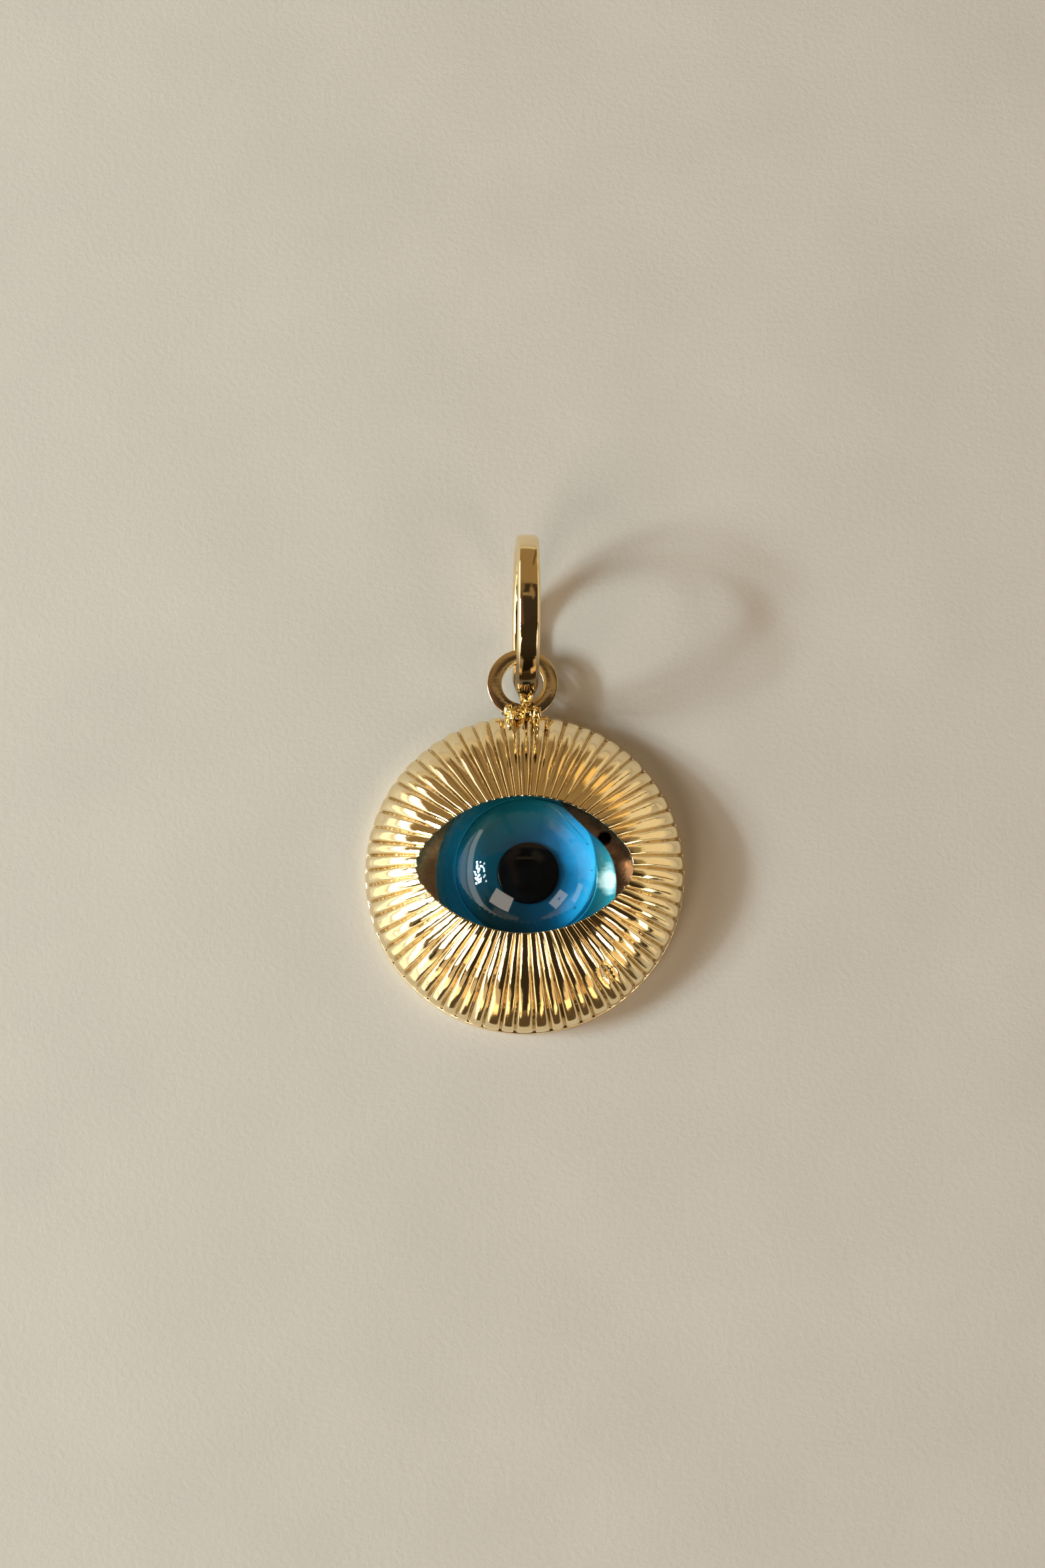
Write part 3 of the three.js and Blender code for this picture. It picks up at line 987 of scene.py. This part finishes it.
def bail_seam():
    """Solder that closes the strip's ends: a lumpy wedge that narrows to the tip."""
    beads = [
        ((0.02, 0.1, -0.05), (0.13, 0.24, 0.22)),
        ((0.0, 0.35, 0.05), (0.22, 0.3, 0.3)),
        ((-0.17, 0.62, 0.3), (0.2, 0.34, 0.3)),
        ((0.18, 0.66, 0.34), (0.2, 0.36, 0.28)),
        ((0.0, 0.95, 0.66), (0.3, 0.3, 0.2)),
        ((-0.3, 1.0, 0.6), (0.12, 0.26, 0.18)),
        ((0.32, 0.95, 0.6), (0.12, 0.24, 0.18)),
        ((0.03, 0.4, -0.25), (0.26, 0.3, 0.26)),
        ((0.0, 0.14, 0.62), (0.15, 0.24, 0.4)),
        ((-0.1, 0.3, 1.1), (0.22, 0.26, 0.4)),
        ((0.14, 0.42, 1.36), (0.22, 0.26, 0.38)),
        ((0.0, 0.62, 1.7), (0.36, 0.28, 0.34)),
        ((-0.3, 0.78, 1.9), (0.17, 0.24, 0.3)),
        ((0.3, 0.84, 1.98), (0.17, 0.26, 0.3)),
    ]
    placed = [(BAIL_PLACE @ Vector(centre), radii) for centre, radii in beads]
    return lump("seam_solder", placed, "bail", "bail_seam", lambda p: p)


front_cover()
back_plate()
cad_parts["eye_seat"].data.materials.clear()
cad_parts["eye_seat"].data.materials.append(seat_material())
glass_dome()
eye_backing()
iris_dish()
pupil_bead()
hanging_loop()
loop_solder()
bail_ring()
bail_seam()


# Stage -------------------------------------------------------------------------------------


PAPER_HALF = 1.5
PAPER_DROP = 0.00002


def paper_floor():
    """Pale paper, a hair below the pendant's back so that the two don't share a plane."""
    half = PAPER_HALF
    mesh = bpy.data.meshes.new("paper")
    mesh.from_pydata(
        [(-half, -half, 0), (half, -half, 0), (half, half, 0), (-half, half, 0)],
        [],
        [(0, 1, 2, 3)],
    )
    s = Shader("paper")
    s.set(Roughness=0.9)
    cloud = s.noise(90, 3, 0.5)
    s.link(
        s.ramp(cloud, (0.3, (0.62, 0.575, 0.52)), (0.7, (0.66, 0.612, 0.55))),
        s.bsdf.inputs["Base Color"],
    )
    s.bump(s.noise(2600, 4, 0.6), 0.00003)
    mesh.materials.append(s.material)
    ob = bpy.data.objects.new("paper", mesh)
    ob.location.z = -PAPER_DROP
    bpy.context.scene.collection.objects.link(ob)


LAMP_AIM = Vector((0, 0.006, 0.002))


def lamp(name, azimuth, elevation, distance, size, power, colour):
    """A soft rectangular lamp; azimuth is where it stands, in degrees from +X towards +Y."""
    data = bpy.data.lights.new(name, "AREA")
    data.shape = "RECTANGLE"
    data.size, data.size_y = size
    data.energy = power
    data.color = colour
    ob = bpy.data.objects.new(name, data)
    a, e = math.radians(azimuth), math.radians(elevation)
    way = Vector((math.cos(a) * math.cos(e), math.sin(a) * math.cos(e), math.sin(e)))
    ob.location = LAMP_AIM + way * distance
    ob.rotation_euler = way.to_track_quat("Z", "Y").to_euler()
    ob.visible_camera = False
    bpy.context.scene.collection.objects.link(ob)
    return ob


KEY_POWER = 3.02
KEY_DISTANCE = 0.55
KEY_SIZE = (0.021, 0.021)
KEY_COLOUR = (0.8, 0.95, 1.0)
KEY_ARC = (168, 197)
KEY_MIDDLE = 183
KEY_SPREAD = 17
# lamps, lowest and highest elevation, and strength of each row
KEY_ROWS = ((8, 24, 27, 0.9), (9, 27, 30, 1.0), (6, 30, 33, 0.5), (7, 33, 38, 0.3))


def key_lamps():
    """The key light: a low cluster of small lamps to the left, with faint ones scattered above it."""
    rng = random.Random(5)
    bank = []
    for count, low, high, strength in KEY_ROWS:
        for i in range(count):
            azimuth = lerp(*KEY_ARC, (i + 0.5) / count) + rng.uniform(-1.5, 1.5)
            off = (azimuth - KEY_MIDDLE) / KEY_SPREAD
            weight = strength * math.exp(-off * off) * rng.uniform(0.6, 1.4)
            bank.append((azimuth, rng.uniform(low, high), weight))
    total = sum(weight for _, _, weight in bank)
    for i, (azimuth, elevation, weight) in enumerate(bank):
        power = KEY_POWER * weight / total
        lamp(f"key_{i}", azimuth, elevation, KEY_DISTANCE, KEY_SIZE, power, KEY_COLOUR)


class Sky(Nodes):
    """The room round the stage, as colours over directions."""

    def __init__(self):
        self.world = bpy.data.worlds.new("room")
        self.world.use_nodes = True
        super().__init__(self.world.node_tree, "Generated")

    def patch(self, below, colour, azimuth, elevation, width, height, soft=2.0, roll=0.0):
        """A rectangular area of colour seen in a direction; sizes are half angles in degrees."""
        way = Euler((0, -math.radians(elevation), math.radians(azimuth))).to_matrix()
        way = way @ Matrix.Rotation(math.radians(roll), 3, "X")
        ahead = self.dot(self.place, way @ Vector((1, 0, 0)))
        mask = self.spread(ahead, 0.0, 0.02, 0.0, 1.0)
        for side, half in ((Vector((0, 1, 0)), width), (Vector((0, 0, 1)), height)):
            slant = self.maths("DIVIDE", self.dot(self.place, way @ side), ahead)
            off = self.maths("ABSOLUTE", slant)
            near = math.tan(math.radians(max(0.0, half - soft)))
            far = math.tan(math.radians(half))
            mask = self.maths("MULTIPLY", mask, self.spread(off, near, far, 1.0, 0.0))
        return self.blend(mask, below, colour)


ROOM = (
    # colour, azimuth, elevation, half width, half height, softness, roll
    # the far side, past the bail, and the right-hand side
    ((0.285, 0.187, 0.082), 92, 34, 62, 32, 3, 0),
    ((0.66, 0.55, 0.36), 92, 4, 60, 5, 4, 0),
    ((0.84, 0.7, 0.47), 12, 14, 42, 14, 5, 0),
    ((1.05, 0.68, 0.24), 50, 21, 14, 8, 4, 0),
    ((0.3, 0.2, 0.1), 90, 77, 13, 2.0, 0.6, 0),
    # the near side, past the disc's lower edge: dark above and pale low down
    ((0.035, 0.024, 0.013), 285, 46, 60, 32, 3, 0),
    ((0.1, 0.066, 0.032), 280, 8, 40, 8, 3, 0),
    ((0.66, 0.5, 0.31), 245, 23, 16, 7, 3, 0),
    ((0.95, 0.68, 0.36), 312, 21, 24, 7, 3, 0),
    ((2.2, 1.5, 0.75), 251, 15, 9, 4, 2, 0),
    ((2.2, 1.5, 0.75), 293, 15, 13, 4, 2, 0),
    # faint tones overhead
    ((0.2, 0.12, 0.055), 135, 66, 14, 8, 6, 0),
    ((0.15, 0.07, 0.035), 190, 74, 20, 7, 6, 0),
    ((0.26, 0.17, 0.08), 48, 69, 10, 7, 5, 0),
    # darker and brighter uprights round the far and right-hand sides
    ((0.2, 0.15, 0.07), 36, 10, 3, 10, 1.5, 0),
    ((0.16, 0.12, 0.06), 352, 12, 4, 9, 2, 0),
    ((0.3, 0.22, 0.1), 8, 25, 13, 3, 1.5, 0),
    ((3.2, 3.0, 2.4), 338, 19, 11, 4, 1.5, 0),
    ((0.12, 0.08, 0.04), 112, 24, 4, 20, 2, 0),
    ((0.13, 0.09, 0.04), 72, 20, 3, 18, 2, 0),
    # the pale left-hand side, under the key lamps
    ((1.5, 1.4, 1.15), 190, 6, 50, 6, 3, 0),
    ((3.0, 2.85, 2.5), 188, 17, 52, 5.5, 2, 0),
    ((2.2, 1.8, 1.2), 232, 15, 14, 6, 3, 0),
    ((0.22, 0.18, 0.12), 196, 33, 30, 4, 2, 0),
    # two windows, and a small dark thing in the second
    ((5.4, 4.4, 3.5), 231, 39.5, 12.5, 10.5, 0.8, 8),
    ((4.6, 3.9, 3.2), 318, 34.5, 10.5, 6.7, 0.8, 6),
    ((0.2, 0.22, 0.3), 319, 34.5, 1.6, 1.4, 0.6, 6),
)


def room():
    """A plain room, darker overhead, with its windows and pale things as patches."""
    sky = Sky()
    colour = sky.ramp(
        sky.dot(sky.place, (0, 0, 1)),
        (0.0, (0.52, 0.48, 0.4)),
        (0.1, (0.5, 0.44, 0.34)),
        (0.3, (0.3, 0.22, 0.13)),
        (0.6, (0.09, 0.06, 0.035)),
        (0.9, (0.04, 0.028, 0.018)),
    )
    for tone, *place in ROOM:
        colour = sky.patch(colour, tone, *place)
    sky.link(colour, sky.tree.nodes["Background"].inputs["Color"])
    bpy.context.scene.world = sky.world


SENSOR_HEIGHT = 36
LENS = 50.35
CAMERA_TILT = math.radians(9.5)
CAMERA_DISTANCE = 150.0
CAMERA_AIM = Vector((-0.16, 6.22, 0))


def camera():
    data = bpy.data.cameras.new("camera")
    data.sensor_fit = "VERTICAL"
    data.sensor_height = SENSOR_HEIGHT
    data.lens = LENS
    data.clip_start = 0.01
    ob = bpy.data.objects.new("camera", data)
    back = Vector((0, -math.sin(CAMERA_TILT), math.cos(CAMERA_TILT)))
    ob.location = (CAMERA_AIM + back * CAMERA_DISTANCE) * MM
    ob.rotation_euler = Euler((CAMERA_TILT, 0, 0))
    bpy.context.scene.collection.objects.link(ob)
    bpy.context.scene.camera = ob


paper_floor()
key_lamps()
room()
camera()
bpy.context.scene.view_settings.view_transform = "Standard"
